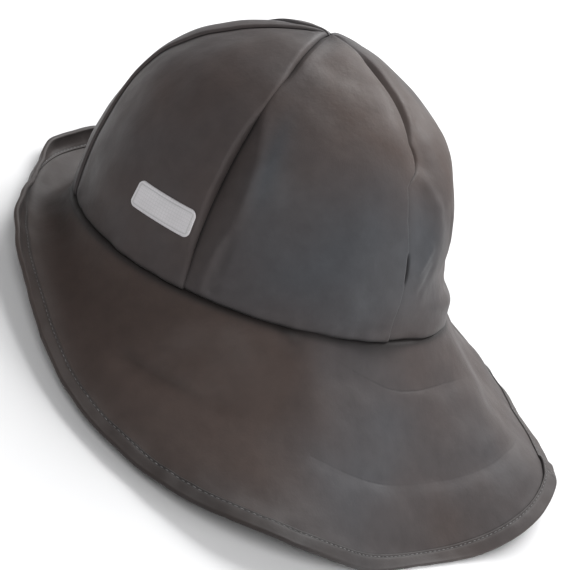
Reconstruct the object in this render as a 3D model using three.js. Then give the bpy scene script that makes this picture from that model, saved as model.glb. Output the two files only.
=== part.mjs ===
// Sou'wester rain hat, at rest on the surface that it stands on. Millimetres, +X the wearer's right,
// +Y the front, +Z up, with the origin under the middle of the hat. Azimuths are degrees round the
// hat from the centre of the back, over the wearer's left side. The crown's base is modelled level
// first, then the hat leans forward until the back rim and the front gutter both touch the surface.
import * as THREE from 'three';

// crown, measured on the inside
const headLength = 190;
const headWidth = 182;
const crownHeight = 105;
const apexForward = 4;
const goreCount = 6;
const tipRadius = 1.2;

// cloth and seams
const goreWall = 1.2;
const brimWall = 2;
const hemWall = 0.9;
const gap = 0.3;
const seamLap = 6;
const allowance = 9;
const seamSeat = 2;

// brim
const brimLength = 101;
const hemDepth = 8;
const hemJointAzimuth = 320;
const hemJointThickness = 0.9;
const hemJointSpread = 4;

// rest on the surface
const sag = 4;
const pressed = 0.35;

// reflective patch on the left gore
const patchLength = 34;
const patchHeight = 12;
const patchCorner = 3;
const patchWall = 0.6;
const patchAzimuth = 76;
const patchTurn = 15;

// the crown's section is a rounded arch: 1 = rise^archFlatness + radius^archRoundness
const archFlatness = 2.15;
const archRoundness = 2.03;

// how many facets
const goreColumns = 11;
const goreRows = 15;
const brimColumns = 72;
const brimRows = 7;
const walkSteps = 8;

// brim sections: length as a share of brimLength, and slopes below level, in degrees, where the
// brim leaves the crown and at its rim; the right side mirrors the left
const brimSections = [
  { azimuth: 0, length: 1.0, startSlope: 55, endSlope: 43 },
  { azimuth: 30, length: 0.97, startSlope: 47, endSlope: 21 },
  { azimuth: 60, length: 0.765, startSlope: 52, endSlope: 21 },
  { azimuth: 90, length: 0.475, startSlope: 72, endSlope: -31 },
  { azimuth: 120, length: 0.345, startSlope: 82, endSlope: -111 },
  { azimuth: 150, length: 0.415, startSlope: 72, endSlope: -105 },
  { azimuth: 180, length: 0.445, startSlope: 56, endSlope: -110 },
];
const slopeTurn = 1.7;

// the head opening is pressed in at the right back: half width in degrees, depth as a share of the
// radius, and the turn up the crown by which it has faded
const pinch = { azimuth: -50, width: 13, depth: 0.065, fade: 70 };

// degrees above the seam allowance over which a dent of the crown reaches its depth
const dentStart = 10;

// where a gore's sewn edge strays from its even place: the stretch in degrees up the crown
const seamStrays = [
  { seam: 0, from: 40, to: 96, shift: -13.5 },
  { seam: 0, from: -10, to: 42, shift: 3 },
  { seam: 1, from: -40, to: 66, shift: 2.3 },
  { seam: 2, from: 0, to: 90, shift: 4 },
];

// folds and dents of the crown: a ridge or valley from one place to another, with its half width in
// degrees and its depth as a share of crownHeight, outward if positive
const crownFolds = [
  { azimuth: [-9, -12], turn: [45, 74], width: 4, depth: -0.02 },
  { azimuth: [-22, -30], turn: [48, 66], width: 10, depth: -0.018 },
  { azimuth: [0, -1], turn: [12, 22], width: 3, depth: -0.016 },
  { azimuth: [-12, -34], turn: [14, 15], width: 5, depth: -0.016 },
  { azimuth: [-14, -42], turn: [0, 3], width: 5, depth: 0.022 },
  { azimuth: [-40, -54], turn: [12, 26], width: 12, depth: -0.032 },
  { azimuth: [-62, -66], turn: [58, 68], width: 10, depth: -0.018 },
  { azimuth: [-88, -112], turn: [68, 74], width: 7, depth: -0.036 },
  { azimuth: [56.5, 56], turn: [14, 46], width: 3.5, depth: -0.022 },
  { azimuth: [57.5, 57.5], turn: [2, 9], width: 2.5, depth: 0.008 },
  { azimuth: [40, 84], turn: [0, 0], width: 4, depth: 0.01 },
  { azimuth: [96, 112], turn: [50, 44], width: 13, depth: 0.014 },
];

// folds and dents of the brim: places as azimuth and share of the section's length, half widths in
// degrees and share of length, depth as a share of brimLength, outward if positive
const brimFolds = [
  { azimuth: [26, 24], along: [0.1, 0.55], around: 5, across: 0.2, depth: 0.016 },
  { azimuth: [45, 64], along: [0.5, 0.52], around: 5, across: 0.1, depth: -0.012 },
  { azimuth: [18, -30], along: [0.16, 0.26], around: 6, across: 0.06, depth: -0.01 },
  { azimuth: [22, -32], along: [0.57, 0.68], around: 6, across: 0.06, depth: -0.01 },
  { azimuth: [-34, -44], along: [0.8, 0.9], around: 9, across: 0.3, depth: 0.014 },
  { azimuth: [-50, -64], along: [0.9, 0.85], around: 8, across: 0.3, depth: 0.03 },
  { azimuth: [-60, -80], along: [1.02, 1.02], around: 8, across: 0.18, depth: -0.056 },
  { azimuth: [134, 145], along: [1, 1], around: 9, across: 0.2, depth: 0.045 },
  { azimuth: [164, 170], along: [1, 1], around: 9, across: 0.2, depth: -0.03 },
  { azimuth: [103, 109], along: [1, 1], around: 7, across: 0.2, depth: -0.02 },
];

const cloth = { color: 0x4d4848, roughness: 0.62, metalness: 0 };
const hemCloth = { color: 0x464242, roughness: 0.66, metalness: 0 };
const reflective = { color: 0xbdb9bd, roughness: 0.4, metalness: 0.1 };

const radians = THREE.MathUtils.degToRad;
const up = new THREE.Vector3(0, 0, 1);
const goreTurn = 360 / goreCount;
const allowanceTurn = THREE.MathUtils.radToDeg(Math.asin(allowance / crownHeight));

const smooth = (share) => THREE.MathUtils.smoothstep(share, 0, 1);

// difference of two azimuths, between -180 and 180
const azimuthFrom = (azimuth, start) => THREE.MathUtils.euclideanModulo(azimuth - start + 180, 360) - 180;

// a column of the brim's table at any azimuth, on a closed Catmull-Rom curve through its rows
function brimValue(column, azimuth) {
  const rows = brimSections.length;
  const around = 2 * (rows - 1);
  const place = THREE.MathUtils.euclideanModulo(azimuth, 360) / (360 / around);
  const first = Math.floor(place);
  const rowValue = (step) => {
    const index = THREE.MathUtils.euclideanModulo(first + step, around);
    return brimSections[index < rows ? index : around - index][column];
  };
  const [before, start, end, after] = [-1, 0, 1, 2].map(rowValue);
  const share = place - first;
  const line = end - before;
  const bend = 2 * before - 5 * start + 4 * end - after;
  const twist = 3 * (start - end) + after - before;
  return start + 0.5 * share * (line + share * (bend + share * twist));
}

// where the crown's inner face meets its base, as it is pressed in at a turn up the crown, and the
// level direction that points out there
function basePoint(azimuth, turn = 0) {
  const side = radians(azimuth);
  const fromPinch = azimuthFrom(azimuth, pinch.azimuth) / pinch.width;
  const pressedIn = pinch.depth * Math.exp(-fromPinch * fromPinch) * (1 - smooth(turn / pinch.fade));
  const radius = (1 - pressedIn) / 2;
  return new THREE.Vector3(-headWidth * radius * Math.sin(side), -headLength * radius * Math.cos(side), 0);
}

function outward(azimuth) {
  const turn = radians(azimuth);
  return new THREE.Vector3(-Math.sin(turn) / headWidth, -Math.cos(turn) / headLength, 0).normalize();
}

// share of the base radius that is left at a share of the crown's height
function archRadius(rise) {
  return Math.pow(Math.max(0, 1 - Math.pow(Math.abs(rise), archFlatness)), 1 / archRoundness);
}

function archPoint(azimuth, turn) {
  const rise = Math.sin(radians(turn));
  const point = basePoint(azimuth, turn).multiplyScalar(archRadius(rise));
  return point.add(new THREE.Vector3(0, apexForward * rise, crownHeight * rise));
}

function archNormal(azimuth, turn) {
  const step = 0.2;
  const around = archPoint(azimuth + step, turn).sub(archPoint(azimuth - step, turn));
  const climb = archPoint(azimuth, Math.min(turn + step, 90)).sub(archPoint(azimuth, turn - step));
  return climb.cross(around).normalize();
}

// depth of the folds at a place, each a smooth ridge or valley round a straight run
function foldDepth(place, runs) {
  let depth = 0;
  for (const { start, end, reach, height } of runs) {
    const run = [end[0] - start[0], (end[1] - start[1])];
    const from = [azimuthFrom(place[0], start[0]), place[1] - start[1]];
    const scaled = (pair) => [pair[0] / reach[0], pair[1] / reach[1]];
    const [a, b] = [scaled(from), scaled(run)];
    const size = b[0] * b[0] + b[1] * b[1];
    const share = size > 0 ? THREE.MathUtils.clamp((a[0] * b[0] + a[1] * b[1]) / size, 0, 1) : 0;
    const away = Math.hypot(a[0] - share * b[0], a[1] - share * b[1]);
    depth += height * Math.exp(-away * away);
  }
  return depth;
}

const crownRuns = crownFolds.map((fold) => ({
  start: [fold.azimuth[0], fold.turn[0]],
  end: [fold.azimuth[1], fold.turn[1]],
  reach: [fold.width / Math.cos(radians((fold.turn[0] + fold.turn[1]) / 2)), fold.width],
  height: fold.depth * crownHeight,
}));

const brimRuns = brimFolds.map((fold) => ({
  start: [fold.azimuth[0], fold.along[0]],
  end: [fold.azimuth[1], fold.along[1]],
  reach: [fold.around, fold.across],
  height: fold.depth * brimLength,
}));

// a point of the crown at a distance outside the inner face of its lowest cloth; a dent starts only
// above the allowance that stands inside the crown
function crownPoint(azimuth, turn, offset) {
  const fold = foldDepth([azimuth, turn], crownRuns);
  const height = fold < 0 ? fold * smooth((turn - allowanceTurn) / dentStart) : fold;
  return archPoint(azimuth, turn).addScaledVector(archNormal(azimuth, turn), offset + height);
}

// a closed solid from equal loops of points, whose first half is the outer face and whose second
// half is the inner face in reverse; a ring joins its last loop to its first, a strip has two ends.
// Facets are split the other way from the point where a loop turns back, so that cloth that lies on
// other cloth has the same facets
function solidFrom(loops, isRing, turnsBack = loops[0].length / 2) {
  const size = loops[0].length;
  const half = size / 2;
  const triangles = [];
  const quad = (a, b, c, d, flip) => {
    if (flip) triangles.push([a, b, d], [b, c, d]);
    else triangles.push([a, b, c], [a, c, d]);
  };
  const spans = isRing ? loops.length : loops.length - 1;
  for (let row = 0; row < spans; row += 1) {
    const here = row * size;
    const next = ((row + 1) % loops.length) * size;
    for (let i = 0; i < size; i += 1) {
      const j = (i + 1) % size;
      quad(here + i, here + j, next + j, next + i, i >= turnsBack);
    }
  }
  if (!isRing) {
    const last = (loops.length - 1) * size;
    for (let i = 0; i < half - 1; i += 1) {
      const j = size - 1 - i;
      quad(i, j, j - 1, i + 1, false);
      quad(last + i, last + i + 1, last + j - 1, last + j, false);
    }
  }
  const points = loops.flat();
  const volume = triangles.reduce((sum, [a, b, c]) => {
    const corner = new THREE.Vector3().crossVectors(points[b], points[c]);
    return sum + points[a].dot(corner);
  }, 0);
  const faces = volume < 0 ? triangles.map(([a, b, c]) => [a, c, b]) : triangles;
  const geometry = new THREE.BufferGeometry();
  geometry.setAttribute('position', new THREE.Float32BufferAttribute(points.flatMap((p) => p.toArray()), 3));
  geometry.setIndex(faces.flat());
  geometry.computeVertexNormals();
  return geometry;
}

const shellLoop = (outer, inner) => [...outer, ...inner.slice().reverse()];

// azimuth of a sewn gore edge at a height, and the turn that its lap covers there
function seamAzimuth(seam, turn) {
  let azimuth = seam * goreTurn;
  for (const stray of seamStrays) {
    if (stray.seam !== seam % goreCount) continue;
    const share = THREE.MathUtils.clamp((turn - stray.from) / (stray.to - stray.from), 0, 1);
    azimuth += stray.shift * Math.sin(Math.PI * share);
  }
  return azimuth;
}

function lapTurn(turn) {
  const radius = (headLength + headWidth) / 4 * archRadius(Math.sin(radians(turn)));
  return Math.min(seamLap / radius * 180 / Math.PI, goreTurn / 5);
}

// how far a gore's inner face stands out: over its neighbour at its first edge, under the next one's
// edge at its last, falling smoothly between
function goreOffset(gore, azimuth, turn) {
  const start = seamAzimuth(gore, turn) + lapTurn(turn);
  const end = seamAzimuth(gore + 1, turn);
  const share = THREE.MathUtils.clamp((azimuth - start) / (end - start), 0, 1);
  return (goreWall + gap) * (1 - smooth(share));
}

function goreGeometry(gore) {
  const tipShare = 2 * tipRadius / Math.min(headLength, headWidth);
  const tipRise = Math.pow(1 - Math.pow(tipShare, archRoundness), 1 / archFlatness);
  const tipTurn = THREE.MathUtils.radToDeg(Math.asin(tipRise));
  const loops = [];
  for (let row = 0; row <= goreRows; row += 1) {
    const turn = tipTurn * row / goreRows;
    const start = seamAzimuth(gore, turn);
    const end = seamAzimuth(gore + 1, turn);
    const lap = lapTurn(turn);
    const azimuths = [start];
    for (let i = 0; i <= goreColumns; i += 1) {
      azimuths.push(start + lap + (end - start - lap) * i / goreColumns);
    }
    azimuths.push(end + lap);
    const face = (extra) => azimuths.map(
      (azimuth) => crownPoint(azimuth, turn, goreOffset(gore, azimuth, turn) + extra),
    );
    loops.push(shellLoop(face(goreWall), face(0)));
  }
  return solidFrom(loops, false);
}

function patchGeometry(gore) {
  const radius = basePoint(patchAzimuth).length() * archRadius(Math.sin(radians(patchTurn)));
  const climb = crownHeight * Math.cos(radians(patchTurn));
  const ends = [1, 0.97, 0.91, 0.82, 0.55, 0.28, 0];
  const shares = [...ends.map((share) => -share), ...ends.slice(0, -1).reverse()];
  const loops = shares.map((share) => {
    const along = share * patchLength / 2;
    const intoCorner = Math.max(0, Math.abs(along) - (patchLength / 2 - patchCorner));
    const cut = patchCorner - Math.sqrt(patchCorner * patchCorner - intoCorner * intoCorner);
    const azimuth = patchAzimuth - along / radius * 180 / Math.PI;
    const face = (extra) => [-1, 0, 1].map((side) => {
      const turn = patchTurn + side * (patchHeight / 2 - cut) / climb * 180 / Math.PI;
      return crownPoint(azimuth, turn, goreOffset(gore, azimuth, turn) + goreWall + gap + extra);
    });
    return shellLoop(face(patchWall), face(0));
  });
  return solidFrom(loops, false);
}

// one section of the brim, from the allowance inside the crown to the rim: each station has its
// place in the section's plane and the slopes on its two sides
function brimStations(azimuth) {
  const length = brimLength * brimValue('length', azimuth);
  const startSlope = brimValue('startSlope', azimuth);
  const endSlope = brimValue('endSlope', azimuth);
  const slopeAt = (distance) => startSlope + (endSlope - startSlope) * Math.pow(distance / length, slopeTurn);
  const crownInside = archPoint(azimuth, allowanceTurn).sub(basePoint(azimuth)).dot(outward(azimuth));
  const stations = [
    { out: crownInside - gap, up: allowance, before: 90, after: 90 },
    { out: -gap, up: -gap, before: 90, after: 0 },
    { out: seamSeat, up: -gap, before: 0, after: startSlope },
  ];
  const hemStart = length - hemDepth;
  const clothEnd = length - hemWall - gap;
  const distances = [];
  for (let row = 1; row <= brimRows; row += 1) distances.push(hemStart * row / brimRows);
  distances.push((hemStart + clothEnd) / 2, clothEnd);
  let walked = 0;
  let { out, up: height } = stations[2];
  for (const distance of distances) {
    const step = (distance - walked) / walkSteps;
    for (let i = 0; i < walkSteps; i += 1) {
      const slope = radians(slopeAt(walked + step / 2));
      out += step * Math.cos(slope);
      height -= step * Math.sin(slope);
      walked += step;
    }
    const slope = slopeAt(distance);
    const fold = foldDepth([azimuth, distance / length], brimRuns);
    const tilt = radians(slope);
    stations.push({
      out: out + fold * Math.sin(tilt),
      up: height + fold * Math.cos(tilt),
      before: slope,
      after: slope,
    });
  }
  return stations;
}

// the brim's sections as points in space, each with the direction that its thickness takes
function brimSkeleton() {
  const hemThickness = hemWall + gap;
  return Array.from({ length: brimColumns }, (_, column) => {
    const azimuth = (column + 0.5) * 360 / brimColumns;
    const away = outward(azimuth);
    const stations = brimStations(azimuth);
    const hemFirst = stations.length - 3;
    return {
      azimuth,
      stations: stations.map(({ out, up: height, before, after }, index) => {
        const tilt = radians((before + after) / 2);
        const mitre = 1 / Math.cos(radians((after - before) / 2));
        const direction = (angle) => (
          away.clone().multiplyScalar(Math.cos(angle)).addScaledVector(up, -Math.sin(angle))
        );
        const nearHem = smooth((index - hemFirst + 2) / 2);
        return {
          top: basePoint(azimuth).addScaledVector(away, out).addScaledVector(up, height),
          normal: direction(tilt - Math.PI / 2).multiplyScalar(mitre),
          along: direction(radians(after)),
          half: brimWall / 2 + nearHem * hemThickness,
        };
      }),
    };
  });
}

// lean that puts the lowest point of the back and of the front on one level
function restingLean(sections) {
  const middles = sections.flatMap(({ stations }) => stations.map(
    ({ top, normal, half }) => ({ point: top.clone().addScaledVector(normal, -brimWall / 2), half }),
  ));
  const lowest = (lean, side) => Math.min(...middles.filter(({ point }) => point.y * side > 0).map(
    ({ point, half }) => point.z * Math.cos(lean) - point.y * Math.sin(lean) - half,
  ));
  let [low, high] = [-Math.PI / 4, Math.PI / 4];
  for (let i = 0; i < 40; i += 1) {
    const lean = (low + high) / 2;
    if (lowest(lean, 1) > lowest(lean, -1)) low = lean;
    else high = lean;
  }
  const lean = (low + high) / 2;
  return { lean, floor: lowest(lean, -1) + sag };
}

const sections = brimSkeleton();
const { lean, floor } = restingLean(sections);
const level = floor + pressed;
const leaned = (vector) => vector.clone().applyAxisAngle(new THREE.Vector3(1, 0, 0), -lean);

// a point near a station of the brim, leaned, lifted where the brim meets the surface and pressed flat
function settled(point, { top, normal, half }) {
  const middle = leaned(top.clone().addScaledVector(normal, -brimWall / 2));
  const result = leaned(point);
  result.z = Math.max(result.z + Math.max(0, floor + half - middle.z), level);
  return result;
}

function brimGeometry() {
  const loops = sections.map(({ stations }) => shellLoop(
    stations.map((station) => settled(station.top, station)),
    stations.map((each) => settled(each.top.clone().addScaledVector(each.normal, -brimWall), each)),
  ));
  return solidFrom(loops, true);
}

function edgeGeometry() {
  const arcSteps = 5;
  const loops = sections.map(({ azimuth, stations }) => {
    const hem = stations.slice(-3);
    const rim = hem[2];
    const fromJoint = azimuthFrom(azimuth, hemJointAzimuth) / hemJointSpread;
    const wall = hemWall + hemJointThickness * Math.exp(-fromJoint * fromJoint);
    const face = (station, side, out) => {
      const height = side > 0 ? out : -brimWall - out;
      return station.top.clone().addScaledVector(station.normal, height);
    };
    const outer = hem.slice(0, 2).map((station) => settled(face(station, 1, gap + wall), station));
    const radius = brimWall / 2 + gap + wall;
    const middle = rim.top.clone().addScaledVector(rim.normal, -brimWall / 2);
    for (let i = 0; i <= arcSteps; i += 1) {
      const angle = Math.PI / 2 - Math.PI * i / arcSteps;
      const point = middle.clone().addScaledVector(rim.normal, radius * Math.sin(angle));
      outer.push(settled(point.addScaledVector(rim.along, (gap + wall) * Math.cos(angle)), rim));
    }
    outer.push(settled(face(hem[1], -1, gap + wall), hem[1]), settled(face(hem[0], -1, gap + wall), hem[0]));
    const groove = [1, -1].map((side) => hem.map((station, index) => {
      const point = face(station, side, gap);
      if (index === 2) point.addScaledVector(rim.along, gap);
      return settled(point, station);
    }));
    const inner = [...groove[0], ...groove[1].reverse()];
    return shellLoop(outer, inner);
  });
  const grooveTop = loops[0].length - 3;
  return solidFrom(loops, true, grooveTop);
}

function mesh(name, geometry, finish) {
  const piece = new THREE.Mesh(geometry, new THREE.MeshStandardMaterial(finish));
  piece.name = name;
  return piece;
}

const hat = new THREE.Group();

// the crown is made level in its own group, which takes the hat's lean
const crown = new THREE.Group();
crown.rotation.x = -lean;
const goreNames = ['back_left', 'left', 'front_left', 'front_right', 'right', 'back_right'];
for (let gore = 0; gore < goreCount; gore += 1) {
  crown.add(mesh(`crown_gore_${goreNames[gore] ?? gore}`, goreGeometry(gore), cloth));
}
crown.add(mesh('reflective_patch', patchGeometry(1), reflective));
hat.add(crown);

hat.add(mesh('brim', brimGeometry(), cloth));
hat.add(mesh('edge_binding', edgeGeometry(), hemCloth));

const box = new THREE.Box3().setFromObject(hat, true);
const centre = box.getCenter(new THREE.Vector3());
hat.position.set(-centre.x, -centre.y, -box.min.z);
hat.updateMatrixWorld(true);

export default hat;
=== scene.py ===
# %% [markdown]
# # A sou'wester rain hat
# The hat is six gores of matte coated cloth sewn into a dome, and one shaped brim that is long over the
# neck and turned up to a gutter at the front. A doubled, stitched hem closes the brim's edge, and a
# plain reflective patch sits on the left gore. Here each of them becomes a thin closed slab of cloth,
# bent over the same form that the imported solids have. Working sizes are in millimetres, and a point is
# turned into metres only when it goes into a mesh.

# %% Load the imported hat
import math

import bmesh
import bpy
import numpy as np
from mathutils import Matrix, Vector


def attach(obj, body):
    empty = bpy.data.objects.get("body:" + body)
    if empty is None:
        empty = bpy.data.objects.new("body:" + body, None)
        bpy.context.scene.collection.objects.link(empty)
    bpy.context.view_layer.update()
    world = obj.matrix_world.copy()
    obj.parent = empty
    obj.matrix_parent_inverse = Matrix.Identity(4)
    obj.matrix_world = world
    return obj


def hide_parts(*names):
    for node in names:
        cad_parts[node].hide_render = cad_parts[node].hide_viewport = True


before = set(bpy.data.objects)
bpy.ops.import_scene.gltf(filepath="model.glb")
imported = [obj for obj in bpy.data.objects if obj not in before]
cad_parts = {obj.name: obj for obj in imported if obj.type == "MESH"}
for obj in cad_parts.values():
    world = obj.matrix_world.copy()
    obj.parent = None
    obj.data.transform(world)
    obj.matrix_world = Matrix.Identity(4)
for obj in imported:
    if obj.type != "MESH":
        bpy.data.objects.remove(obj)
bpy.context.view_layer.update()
MM = 0.001

# %% [markdown]
# ## Camera, floor and light
# The hat is seen from behind its left side, from above, with the camera rolled, as a long lens sees it.
# The floor is a plain pale sheet, much larger than the hat, so that no edge of it shows. A big soft
# light stands to the right of the picture, and the pale world fills the shadows.

# %% Camera
CAMERA_PLACE = (-582.25, -475.50, 452.34)
CAMERA_AZIMUTH = -50.86
CAMERA_ELEVATION = 29.19
CAMERA_ROLL = 30.13
CAMERA_LENS = 114.5


def add_camera():
    azimuth = math.radians(CAMERA_AZIMUTH)
    elevation = math.radians(CAMERA_ELEVATION)
    roll = math.radians(CAMERA_ROLL)
    level = math.cos(elevation)
    back = Vector((math.sin(azimuth) * level, -math.cos(azimuth) * level, math.sin(elevation)))
    right = Vector((math.cos(azimuth), math.sin(azimuth), 0))
    up = back.cross(right)
    across = math.cos(roll) * right + math.sin(roll) * up
    upward = math.cos(roll) * up - math.sin(roll) * right
    camera = bpy.data.objects.new("camera", bpy.data.cameras.new("camera"))
    camera.data.lens = CAMERA_LENS
    camera.data.clip_start = 0.01
    turned = Matrix((across, upward, back)).transposed().to_4x4()
    camera.matrix_world = Matrix.Translation(Vector(CAMERA_PLACE) * MM) @ turned
    bpy.context.collection.objects.link(camera)
    bpy.context.scene.camera = camera
    return back


to_camera = add_camera()
print("camera looks from", [round(value, 2) for value in to_camera])

# %% Floor
FLOOR_SIZE = 12000
FLOOR_COLOUR = (0.76, 0.76, 0.765)


def add_floor():
    sheet = bmesh.new()
    bmesh.ops.create_grid(sheet, x_segments=2, y_segments=2, size=FLOOR_SIZE / 2 * MM)
    mesh = bpy.data.meshes.new("floor")
    sheet.to_mesh(mesh)
    sheet.free()
    floor = bpy.data.objects.new("floor", mesh)
    bpy.context.collection.objects.link(floor)
    paint = bpy.data.materials.new("floor paper")
    paint.use_nodes = True
    shader = paint.node_tree.nodes["Principled BSDF"]
    shader.inputs["Base Color"].default_value = (*FLOOR_COLOUR, 1)
    shader.inputs["Roughness"].default_value = 0.9
    shader.inputs["Specular IOR Level"].default_value = 0.1
    mesh.materials.append(paint)


add_floor()
print("floor is", FLOOR_SIZE / 1000, "m wide")

# %% Lights
# each light's place and size in metres, and its power in watts
LIGHTS = {
    "near window": {"place": (1.28, -2.22, 0.83), "size": 1.6, "power": 46},
    "far window": {"place": (1.65, 0.95, 1.91), "size": 2.4, "power": 112},
    "pale wall": {"place": (-1.65, -0.95, 1.91), "size": 1.6, "power": 36},
}
WORLD_COLOUR = (0.97, 0.98, 1.0)
WORLD_STRENGTH = 0.2
AIM = Vector((0, 0, 0.06))


def add_light(name, place, size, power):
    lamp = bpy.data.lights.new(name, "AREA")
    lamp.shape = "DISK"
    lamp.size = size
    lamp.energy = power
    light = bpy.data.objects.new(name, lamp)
    light.location = place
    light.visible_camera = False
    light.rotation_mode = "QUATERNION"
    light.rotation_quaternion = (AIM - Vector(place)).to_track_quat("-Z", "Y")
    bpy.context.collection.objects.link(light)


for name, row in LIGHTS.items():
    add_light(name, **row)
world = bpy.data.worlds.new("pale room")
world.use_nodes = True
backdrop = world.node_tree.nodes["Background"]
backdrop.inputs["Color"].default_value = (*WORLD_COLOUR, 1)
backdrop.inputs["Strength"].default_value = WORLD_STRENGTH
bpy.context.scene.world = world
bpy.context.scene.view_settings.view_transform = "Standard"
print("lights:", ", ".join(LIGHTS))

# %% [markdown]
# ## The form of the hat
# A place on the crown is an azimuth and a turn. The azimuth is degrees round the hat from the centre of
# the back, over the wearer's left side, and the turn is degrees up from the base to the apex. A place
# on the brim is an azimuth and a distance out along the cloth. The sizes are the ones that the imported
# hat was made to, and numpy works out whole arrays of places at once.

# %% Sizes
HEAD_LENGTH = 190
HEAD_WIDTH = 182
CROWN_HEIGHT = 105
APEX_FORWARD = 4
# two powers shape the arch: how flat it is on top, and how round its shoulders are
ARCH_FLATNESS = 2.15
ARCH_ROUNDNESS = 2.03
GORE_COUNT = 6
GORE_TURN = 360 / GORE_COUNT
GORE_WALL = 1.2
# the gap between one piece and the next, and how far a gore laps over its neighbour
GAP = 0.3
SEAM_LAP = 6
# the brim's seam allowance stands inside the crown, this high and as far up as this turn
ALLOWANCE = 9
ALLOWANCE_TURN = math.degrees(math.asin(ALLOWANCE / CROWN_HEIGHT))
BRIM_LENGTH = 101
BRIM_WALL = 2
# a power that keeps a section near its first slope for longer
SLOPE_TURN = 1.7
HEM_DEPTH = 8
# towards the rim the brim thins, so that the folded hem isn't thick: walls and clearance there
RIM_WALL = 1.0
HEM_WALL = 0.6
HEM_GAP = 0.15
# how much of the rim's lower face is pressed flat where it lies on the surface
PRESSED = 0.35
# the crown is pressed in at the right back: half width in degrees, depth as a share of the radius
PINCH = {"azimuth": -50, "width": 13, "depth": 0.065}
LEAN = math.radians(12.974)
HAT_PLACE = np.array([0.377, 23.241, 37.839])
print("crown is", HEAD_LENGTH, "by", HEAD_WIDTH, "mm inside and", CROWN_HEIGHT, "mm high")

# %% [markdown]
# The crown's lines from base to apex are all one arch, a little flatter on top than a circle. Its
# outward direction, which cloth is lifted along, comes from two short steps on the arch.

# %% The crown's arch
NORMAL_STEP = 0.2


def rounded(share):
    share = np.clip(share, 0, 1)
    return share * share * (3 - 2 * share)


def azimuth_from(azimuth, start):
    return (azimuth - start + 180) % 360 - 180


def base_point(azimuth):
    side = np.radians(azimuth)
    from_pinch = azimuth_from(azimuth, PINCH["azimuth"]) / PINCH["width"]
    radius = (1 - PINCH["depth"] * np.exp(-(from_pinch ** 2))) / 2
    sideways = -HEAD_WIDTH * radius * np.sin(side)
    forward = -HEAD_LENGTH * radius * np.cos(side)
    return np.stack([sideways, forward, 0 * radius], -1)


def outward(azimuth):
    turn = np.radians(azimuth)
    away = np.stack([-np.sin(turn) / HEAD_WIDTH, -np.cos(turn) / HEAD_LENGTH, 0 * turn], -1)
    return away / np.linalg.norm(away, axis=-1, keepdims=True)


def arch_radius(turn):
    rise = np.abs(np.sin(np.radians(turn)))
    return np.maximum(0, 1 - rise ** ARCH_FLATNESS) ** (1 / ARCH_ROUNDNESS)


def arch_point(azimuth, turn):
    rise = np.sin(np.radians(turn))[..., None] * np.array([0, APEX_FORWARD, CROWN_HEIGHT])
    return base_point(azimuth) * arch_radius(turn)[..., None] + rise


def arch_normal(azimuth, turn):
    step = NORMAL_STEP
    around = arch_point(azimuth + step, turn) - arch_point(azimuth - step, turn)
    climb = arch_point(azimuth, np.minimum(turn + step, 90)) - arch_point(azimuth, turn - step)
    normal = np.cross(climb, around)
    return normal / np.linalg.norm(normal, axis=-1, keepdims=True)


halfway = arch_point(np.array([90.0]), np.array([45.0]))[0]
print("halfway up the left side the arch is at", [round(float(value), 1) for value in halfway])

# %% [markdown]
# Cloth never lies quite true. Broad folds come from short tables, with a row for each run of a ridge or
# valley from one place to another. Between them the cloth wanders a little, and a sum of slow waves in
# fixed directions gives that, the same at every run of the script.

# %% Fold tables
# crown folds: azimuth and turn of both ends, half width in degrees, height as a share of CROWN_HEIGHT
CROWN_FOLDS = [
    {"azimuth": (-9, -12), "along": (45, 74), "width": 4, "height": -0.02},
    {"azimuth": (-22, -30), "along": (48, 66), "width": 10, "height": -0.018},
    {"azimuth": (-12, -34), "along": (14, 15), "width": 5, "height": -0.016},
    {"azimuth": (-14, -42), "along": (0, 3), "width": 5, "height": 0.022},
    {"azimuth": (-40, -54), "along": (-2, -2), "width": 4.5, "height": 0.036},
    {"azimuth": (-40, -54), "along": (10, 25), "width": 12, "height": -0.055},
    {"azimuth": (-25, -38), "along": (17, 32), "width": 9, "height": -0.026},
    {"azimuth": (-43, -47), "along": (42, 44), "width": 9, "height": 0.024},
    {"azimuth": (-62, -66), "along": (58, 68), "width": 10, "height": -0.018},
    {"azimuth": (-88, -112), "along": (68, 74), "width": 7, "height": -0.036},
    {"azimuth": (40, 84), "along": (0, 0), "width": 4, "height": 0.01},
    {"azimuth": (96, 112), "along": (50, 44), "width": 13, "height": 0.014},
]
# finer folds of the crown, in the same columns
CROWN_CREASES = [
    {"azimuth": (58.0, 57.6), "along": (2, 12), "width": 1.3, "height": 0.008},
    {"azimuth": (55.4, 54.6), "along": (3, 16), "width": 1.3, "height": -0.011},
    {"azimuth": (-11.5, -6.5), "along": (18, 12.5), "width": 1.5, "height": -0.006},
    {"azimuth": (-9.5, -4), "along": (23, 18), "width": 0.9, "height": 0.006},
    {"azimuth": (-10.5, -14), "along": (40, 34), "width": 2.2, "height": 0.005},
    {"azimuth": (-14.5, -14), "along": (32, 26), "width": 2.6, "height": 0.006},
    {"azimuth": (-11, -5), "along": (25.5, 20), "width": 2.2, "height": 0.006},
    {"azimuth": (-5, -6), "along": (36, 28), "width": 4.5, "height": -0.009},
    {"azimuth": (-26.5, -25.5), "along": (29, 23), "width": 1.4, "height": 0.005},
]
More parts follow.
